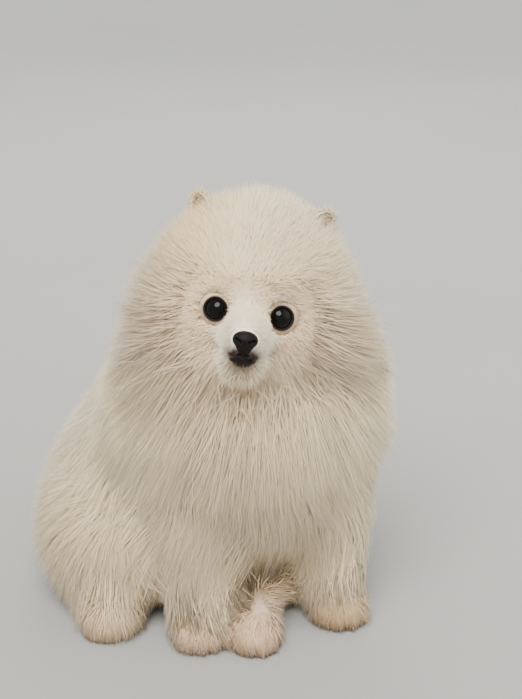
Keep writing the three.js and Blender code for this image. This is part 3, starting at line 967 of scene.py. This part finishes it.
def earWidth(z):
    whole = np.clip((z - ear["base"]) / (ear["height"] - ear["base"]), 0, 1)
    return ear["halfWidth"] * np.sqrt(np.maximum(1 - whole ** 2.2, 0.003))


earMaterial = finish(
    "ear_skin", {"Roughness": 0.65},
    lambda w: w.value("inner").mixed(
        w.noise(120.0).mixed((0.80, 0.66, 0.46), (0.86, 0.72, 0.52)), (0.80, 0.58, 0.45)),
    lambda w: (w.noise(600.0), 0.3, 0.0008))


def makeEar(word, side):
    rows, columns = 26, 40
    heights = ear["base"] + (ear["height"] - ear["base"]) * np.linspace(0, 1, rows) ** 0.85
    spread = math.radians(ear["around"])

    def place(i, around):
        # half of the way round on the outside, then back on the inside
        width, wrap = earWidth(heights[i]), around * 2
        thin = 0 if wrap < 1 else min(ear["wall"], width * 0.4)
        angle = -spread / 2 + spread * min(wrap, 2 - wrap)
        return ((width - thin) * math.sin(angle), (width - thin) * ear["flat"] * math.cos(angle),
                min(heights[i], ear["height"] - thin))

    points, faces = rings(rows, columns, place)
    piece = newMesh("ear_cup_" + word, onEar(side, points), faces, earMaterial)
    addValues(piece.data, "inner", np.tile(np.arange(columns) * 2 >= columns, rows))
    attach(piece, "root")
    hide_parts("ear_" + word)
    return piece


ears = {word: makeEar(word, side) for word, side in sides.items()}
print("claws and ears ready")

# Coat: closed tufts that taper at both ends, rooted in the skin and bent along its lie

cadSides = np.array(cadBox) * 1000 - shift
room = (cadSides[1] - cadSides[0]) * 0.02 + 7
coatPlan = {
    "seed": 7,
    "room": (cadSides[0] - room, cadSides[1] + room),     # the tips stay inside this
    "patch": 0.003,           # of the unwrap, for one tuft
    # how far the tips pass the coat's form
    "beyond": {"head": 5.5, "neck": 6, "torso": 3.5, "tail": 3.5, "leg": 3.5, "paw": 0.5},
    "partBlend": 8.5,         # how far into each other the lies of two parts run
    "perClump": 30,
    "sag": 0.12,
    "floorGap": 0.25,
    # where the lie turns all round, the hair stands up: place and size
    "whorls": (((-30, 176, 52), 26), (onHead((0, 44, 4)), 24)),
}
random = np.random.default_rng(coatPlan["seed"])


def sway(p, scale, seed):
    draw = np.random.default_rng(seed)
    waves = draw.normal(size=(6, 3)) / scale
    return np.sin(p @ waves.T + draw.uniform(0, 6.28, 6)) @ draw.normal(size=(6, 3)) / 2.4


def tuftMesh(tufts, soft, long=False):
    # closed spindles of three sides, with one ring of points or, for the long ones, two
    start, bend, tip = tufts["root"], tufts["bend"], tufts["tip"]
    stations = (0.32, 0.72) if long else (0.4,)
    sizes = (1.0, 0.72) if long else (1.0,)
    count = len(start)
    across = unit(np.cross(tip - start, random.normal(size=(count, 3))))
    other = unit(np.cross(tip - start, across))
    rows = [start]
    normals = [tufts["normal"]]
    for t, size in zip(stations, sizes):
        middle = (1 - t) ** 2 * start + 2 * t * (1 - t) * bend + t * t * tip
        facing = unit(tufts["normal"] * (1 - t) + tufts["tipNormal"] * t)
        for k in range(3):
            angle = 2 * math.pi * k / 3
            out = across * math.cos(angle) + other * math.sin(angle)
            rows.append(middle + out * (tufts["width"] * size / 2)[:, None])
            normals.append(unit(facing * soft + out * (1 - soft)))
    rows.append(tip)
    normals.append(tufts["tipNormal"])
    size = len(rows)
    points = np.stack(rows, 1).reshape(-1, 3)
    points[:, 2] = np.maximum(points[:, 2], coatPlan["floorGap"])
    faces = [(0, 1 + (k + 1) % 3, 1 + k) for k in range(3)]
    if long:
        for k in range(3):
            a, b, c, d = 1 + k, 1 + (k + 1) % 3, 4 + (k + 1) % 3, 4 + k
            faces += [(a, b, c), (a, c, d)]
    faces += [(size - 4 + k, size - 4 + (k + 1) % 3, size - 1) for k in range(3)]
    faces = np.array(faces)
    triangles = (faces[None] + (np.arange(count) * size)[:, None, None]).reshape(-1, 3)
    along = np.array([0.0] + [t for t in stations for _ in range(3)] + [1.0])
    turn = np.array([0.0] + [math.cos(2.1 * k) for _ in stations for k in range(3)] + [0.0])
    patch = np.stack([turn * 0.5, along - 0.5], 1) * coatPlan["patch"]
    return {
        "points": points, "normals": np.stack(normals, 1).reshape(-1, 3), "triangles": triangles,
        "along": np.tile(along, count), "tone": np.repeat(tufts["tone"], size),
        "unwrap": (tufts["unwrap"][:, None] + patch[None]).reshape(-1, 2),
        "markAt": np.repeat(start, size, 0),
    }


def joinCoat(name, groups, nodes, slot):
    offset, allTriangles = 0, []
    for group in groups:
        allTriangles.append(group["triangles"] + offset)
        offset += len(group["points"])
    points, normals, unwrap, along, tone, markAt = (
        np.concatenate([group[key] for group in groups])
        for key in ("points", "normals", "unwrap", "along", "tone", "markAt"))
    triangles = np.concatenate(allTriangles)
    mesh = bpy.data.meshes.new(name)
    mesh.vertices.add(len(points))
    mesh.vertices.foreach_set("co", toFrame(points).astype(np.float32).ravel())
    mesh.loops.add(triangles.size)
    mesh.loops.foreach_set("vertex_index", triangles.astype(np.int32).ravel())
    mesh.polygons.add(len(triangles))
    mesh.polygons.foreach_set("loop_start", np.arange(0, triangles.size, 3, dtype=np.int32))
    mesh.update()
    mesh.shade_smooth()
    mesh.uv_layers.new(name="OFBake").uv.foreach_set(
        "vector", unwrap[triangles.ravel()].astype(np.float32).ravel())
    addValues(mesh, "along", along)
    addValues(mesh, "tone", tone)
    mark(mesh, markAt)
    mesh.normals_split_custom_set_from_vertices(normals.astype(np.float32))
    mesh.materials.append(coatMaterial)
    piece = newObject(name, mesh)
    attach(piece, "root")
    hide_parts(*nodes)
    print(name, len(triangles), "triangles")


def crossOf(corners):
    return np.cross(corners[:, 1] - corners[:, 0], corners[:, 2] - corners[:, 0])


skinPoints = meshPoints(skin.data)
skinTriangles = meshTriangles(skin.data)
skinNormals = unit(slopeOf(skinField, skinPoints))
triangleMiddles = skinPoints[skinTriangles].mean(1)
triangleAreas = np.linalg.norm(crossOf(skinPoints[skinTriangles]), axis=1) / 2
partNames = list(parts)
triangleFields = np.stack([part["nearSkin"](triangleMiddles) for part in parts.values()], 1)
trianglePart = triangleFields.argmin(1)
print("skin sorted into parts")


def bare(p):
    # where no hair grows: the eyes with their rims, the nose and the lips
    hidden = noseForm(p) < 1.0
    for side in (-1, 1):
        hidden |= socket(side)(p) < 0.5
    mouth = ofHead(blend([limb(a, b, 1.4, 1.4) for a, b in zip(lipLine[:-1:3], lipLine[1::3])], 1))
    return hidden | (mouth(p) < 0) | (p[:, 2] < 1.2)


def awayFromEyes(p):
    push = np.zeros_like(p)
    for side in (-1, 1):
        q = inEye(side, p)
        flat = q * (1, 0, 1)
        strength = np.exp(-np.maximum(np.sqrt((q * q).sum(1)) - 9.5, 0) / 4)
        push += (unit(flat) * strength[:, None]) @ eyeTurn(side).T
    return push


def faceLimit(p):
    # the longest hair at a place on the head: short on the muzzle, between and around the eyes
    q = inHead(p)
    off = np.sqrt((q[:, 0] / 29) ** 2 + ((q[:, 2] + 8) / 21) ** 2)
    front = np.clip((-q[:, 1] - 4) / 10, 0, 1)
    limit = 4.6 + 60 * np.clip(off - 0.92, 0, None) ** 1.3
    for side in (-1, 1):
        away = np.sqrt((inEye(side, p) ** 2).sum(1))
        limit = np.minimum(limit, 1.8 + np.clip(away - 9, 0, None) * 0.55
                           + np.clip(away - 19, 0, None) ** 1.5)
    limit = np.minimum(limit, np.where(q[:, 1] < -38, 3.0 + np.clip(q[:, 1] + 60, 0, 22) * 0.07, 99))
    limit = np.where((q[:, 2] < -29) & (q[:, 1] < -24), 8 + 1.4 * np.clip(-29 - q[:, 2], 0, 8), limit)
    return limit * front + 99 * (1 - front)


def scattered(weights, count):
    # triangles drawn by weight, and the share of each corner in a point on them
    steps = np.cumsum(weights)
    picks = np.searchsorted(steps, random.random(count) * steps[-1]).clip(0, len(steps) - 1)
    a, b = np.sqrt(random.random(count)), random.random(count)
    return picks, np.stack([1 - a, a * (1 - b), a * b], 1)[:, :, None]


def combed(root, normal):
    # the lie of the coat and how far it stands, from all parts close by
    fields = np.stack([part["nearSkin"](root) for part in parts.values()], 1)
    weight = np.clip(1 - (fields - fields.min(1, keepdims=True)) / coatPlan["partBlend"], 0, 1) ** 2
    weight /= weight.sum(1, keepdims=True)
    flow = np.zeros_like(root)
    stand = np.zeros(len(root))
    for i, part in enumerate(parts.values()):
        felt = weight[:, i] > 0.03
        flow[felt] += part["flow"](root[felt]) * weight[felt, i:i + 1]
        stand += weight[:, i] * part["stand"]
    for place, size in coatPlan["whorls"]:
        stand += (0.9 - stand) * np.clip(spot(root, place, size) * 1.3, 0, 1)
    flow = unit(flow + sway(root, 16, 3) * 0.26 + sway(root, 6, 4) * 0.16 + awayFromEyes(root) * 1.6)
    return unit(flow - (flow * normal).sum(1, keepdims=True) * normal * 0.6), stand


def pastForm(name, root):
    # how far the tips pass the coat's form: less beside the ears and at the back of the ruff
    beyond = next(value for word, value in coatPlan["beyond"].items() if word in name)
    if name == "head":
        q = inHead(root)
        crown = 0.5 - 0.38 * np.clip(np.abs(q[:, 0]) / 12 - 0.5, 0, 1)
        high = np.clip((34 - q[:, 2]) / 40, crown, 1)
        return beyond * np.maximum(high, np.clip((q[:, 1] - 6) / 20, 0, 1))
    if name == "neck":
        return beyond - 3.2 * np.clip((root[:, 1] - 62) / 24, 0, 1)
    return beyond


def growTufts(name, count, layer):
    chosen = np.flatnonzero(trianglePart == partNames.index(name))
    weights = triangleAreas[chosen]
    if name == "head":
        q = inHead(triangleMiddles[chosen])
        front = np.clip((-q[:, 1] - 4) / 14, 0, 1)
        weights = weights * (front if layer is layers["face"] else 1 - 0.5 * front)
    picks, mix = scattered(weights, count)
    corners = skinTriangles[chosen[picks]]
    root = (skinPoints[corners] * mix).sum(1)
    normal = unit((skinNormals[corners] * mix).sum(1))
    keep = ~bare(root)
    root, normal = root[keep], normal[keep]
    flow, stand = combed(root, normal)
    loose = random.normal(size=root.shape) * layer["loose"]
    lean = unit(normal * stand[:, None] + flow * (1 - stand)[:, None] * 0.8 + loose)
    beyond = pastForm(name, root)
    longest = layer.get("longest", {}).get(name, 60)
    length = reach(lambda q: coatField(q) - beyond, root + normal * 0.5, lean, longest, 14) + 0.5
    short, tall = layer["length"]
    length = length * (short + (tall - short) * random.random(len(root)) ** 0.8)
    length = np.maximum(length, 1.6 + random.random(len(root)) * 1.2)
    if name == "head":
        length = np.minimum(length, faceLimit(root) * random.uniform(0.75, 1.15, len(root)))
        length = np.where(markings(root)["dark"] > 0.25, np.minimum(length, 2.7), length)
    return {"root": root - normal * 0.7, "normal": normal, "lean": lean,
            "tip": root + lean * length[:, None], "length": length}


def clump(tufts, strength):
    # draws the tips together, each to the nearest of a few leading tufts
    root, tip, count = tufts["root"], tufts["tip"], len(tufts["root"])
    guides = random.permutation(count)[:max(8, int(count / coatPlan["perClump"]))]
    tree = kdtree.KDTree(len(guides))
    for i, guide in enumerate(guides):
        tree.insert(root[guide], i)
    tree.balance()
    nearest = guides[np.fromiter((tree.find(p)[1] for p in root), int, count)]
    pull = strength * random.uniform(0.5, 1, count)[:, None]
    fitted = tip[nearest] + (tip - root - tip[nearest] + root[nearest]) * 0.35
    apart = np.linalg.norm(root - root[nearest], axis=1)[:, None]
    pull = pull * np.clip(tufts["length"][:, None] / (apart * 1.6 + 1), 0, 1)
    tufts["tip"] = tip * (1 - pull) + fitted * pull


def shaped(tufts, name, layer):
    # the bend, the thickness and the tone of tufts that have their root and tip
    root, length, count = tufts["root"], tufts["length"], len(tufts["root"])
    tip = np.clip(tufts["tip"], *coatPlan["room"])
    sag = length * coatPlan["sag"] * random.uniform(0.3, 1, count)
    tufts["tip"] = tip + np.array((0, 0, -1.0)) * sag[:, None]
    tufts["bend"] = (root + tufts["normal"] * (length * 0.30)[:, None]
                     + tufts["lean"] * (length * 0.28)[:, None] + sway(root, 5, 9) * (length * 0.08)[:, None])
    tufts["tipNormal"] = unit(slopeOf(coatField, tufts["tip"], 2.0))
    tufts["width"] = np.minimum(layer["width"], 0.32 + length * 0.030) * random.uniform(0.7, 1.25, count)
    tufts["tone"] = random.random(count)
    tufts["unwrap"] = unwrapped(name, root)


layers = {      # lengths as a share of the way to the coat's outline, widths in millimetres
    "under": {"length": (0.45, 0.85), "loose": 0.2, "width": 1.1, "soft": 0.9, "clump": 0.2,
              "longest": {"head": 45, "neck": 60, "torso": 60, "tail": 45}},
    "over": {"length": (0.84, 1.04), "loose": 0.1, "width": 0.72, "soft": 0.85, "clump": 0.4,
             "longest": {"head": 58, "neck": 80, "torso": 78, "tail": 60}},
    "paw": {"length": (0.7, 1.25), "loose": 0.12, "width": 0.6, "soft": 0.6, "clump": 0.3},
    "face": {"length": (0.8, 1.1), "loose": 0.2, "width": 0.5, "soft": 0.45, "longest": {"head": 30}},
    "wisps": {"length": (0.98, 1.06), "loose": 0.15, "long": True, "width": 0.42, "soft": 0.85,
              "longest": {"head": 62, "neck": 84, "torso": 80, "tail": 64}},
}
coatCounts = {      # tufts of each layer on each part
    "head": {"under": 12000, "over": 33000, "face": 12000, "wisps": 1800},
    "neck": {"under": 11000, "over": 36000, "wisps": 2000},
    "torso": {"under": 12000, "over": 35000, "wisps": 2000},
    "tail": {"under": 4000, "over": 8500, "wisps": 600},
    **dict.fromkeys(("foreleg_right", "foreleg_left"), {"under": 3500, "over": 6500, "wisps": 300}),
    "hindleg_right": {"under": 3500, "over": 8500, "wisps": 400},
    "hindleg_left": {"under": 3500, "over": 7500, "wisps": 400},
    **dict.fromkeys(paws, {"paw": 3800}),
}
splits = {      # a piece in front, to a depth, and behind it one right and one left of a middle
    "head": {"pieces": ("coat_face", "coat_crown_right", "coat_crown_left"), "depth": -12, "middle": 0},
    "neck": {"pieces": ("coat_chest", "coat_ruff_right", "coat_ruff_left"), "depth": 55, "middle": -2},
    "torso": {"pieces": ("coat_belly", "coat_flank_right", "coat_flank_left"), "depth": 70, "middle": -12},
}


def pieceIndex(name, p):
    if name not in splits:
        return np.zeros(len(p), int)
    q = inHead(p) if name == "head" else p
    behind = np.where(q[:, 0] < splits[name]["middle"], 1, 2)
    return np.where(q[:, 1] < splits[name]["depth"], 0, behind)


def unwrapped(name, p):
    # the skin's own shape seen from the part's middle: round and up
    q = p - parts[name]["centre"]
    around = np.arctan2(q[:, 0], -q[:, 1]) / (2 * math.pi) + 0.5
    up = np.arcsin(np.clip(unit(q)[:, 2], -1, 1)) / math.pi + 0.5
    return np.stack([0.005 + around * 0.99, 0.005 + up * 0.99], 1)


for name, counts in coatCounts.items():
    grown = {}
    for layerName, count in counts.items():
        layer = layers[layerName]
        tufts = growTufts(name, count, layer)
        if "clump" in layer:
            clump(tufts, layer["clump"])
        shaped(tufts, name, layer)
        grown[layerName] = tufts
    pieceNames = splits[name]["pieces"] if name in splits else ("coat_" + name,)
    for i, pieceName in enumerate(pieceNames):
        groups = []
        for layerName, tufts in grown.items():
            mask = pieceIndex(name, tufts["root"]) == i
            chosen = {key: value[mask] for key, value in tufts.items()}
            groups.append(tuftMesh(chosen, layers[layerName]["soft"], "long" in layers[layerName]))
        joinCoat(pieceName, groups, [name], "paw_coat" if "paw" in name else "cream_coat")


def shortTufts(root, bend, lean, length, normal, tipNormal, widths, soft):
    count, length = len(root), length[:, None]
    return tuftMesh({
        "root": root, "bend": root + bend * length, "tip": root + lean * length, "normal": normal,
        "tipNormal": tipNormal, "width": random.uniform(*widths, count), "tone": random.random(count),
        "unwrap": unwrapped("head", root)}, soft)


def earCoat(word, side, count):
    piece = ears[word]
    corners = meshPoints(piece.data)[meshTriangles(piece.data)]
    cross = crossOf(corners)
    picks, mix = scattered(np.linalg.norm(cross, axis=1), count)
    root = (corners[picks] * mix).sum(1)
    normal = unit(cross[picks])
    turn = headTurn @ earTurn(side)
    up = np.array((0, 0, 1.0)) @ turn.T
    local = (root - onEar(side, np.zeros((1, 3)))) @ turn
    rim = np.clip(np.abs(local[:, 0]) / np.maximum(earWidth(local[:, 2]), 2), 0, 1)
    lean = unit(up * 0.6 + normal * 0.75 + random.normal(size=root.shape) * 0.2)
    length = random.uniform(3.5, 6.0, count) + 1.5 * rim + 2.5 * np.clip(1 - local[:, 2] / 30, 0, 1)
    facing = unit(normal * 0.5 + up)
    tufts = shortTufts(root, normal * 0.35 + up * 0.3, lean, length, facing, facing, (0.6, 1.0), 0.8)
    joinCoat("coat_ear_" + word, [tufts], ["ear_" + word], "tan_coat")


def lidCoat(word, side, count):
    # short hair on the lid, lying away from the eye
    turn = random.uniform(0, 2 * math.pi, count)
    out = 3 + 50 * random.random(count) ** 0.9      # degrees from the rim
    across, up = lid["spread"]
    angle = np.radians(np.hypot(across * np.cos(turn), up * np.sin(turn)) + out)[:, None]
    sideways = np.stack([np.cos(turn), np.zeros(count), np.sin(turn)], 1)
    backward = np.array((0, 1.0, 0))
    facing = sideways * np.sin(angle) - backward * np.cos(angle)
    outward = sideways * np.cos(angle) + backward * np.sin(angle)
    root = onEye(side, facing * lid["tuftRoots"])
    normal, flow = facing @ eyeTurn(side).T, outward @ eyeTurn(side).T
    keep = parts["head"]["skin"](root) > -2.5
    root, normal, flow, out = root[keep], normal[keep], flow[keep], out[keep]
    lean = unit(normal * 0.42 + flow * 0.8 + random.normal(size=root.shape) * 0.14)
    length = (1.3 + out * 0.07) * random.uniform(0.8, 1.2, len(root))
    tufts = shortTufts(root, normal * 0.45 + flow * 0.2, lean, length, normal, unit(normal + flow * 0.3),
                       (0.3, 0.5), 0.7)
    joinCoat("coat_lid_" + word, [tufts], ["head"], "cream_coat")


for word, side in sides.items():
    earCoat(word, side, ear["tufts"])
    lidCoat(word, side, lid["tufts"])
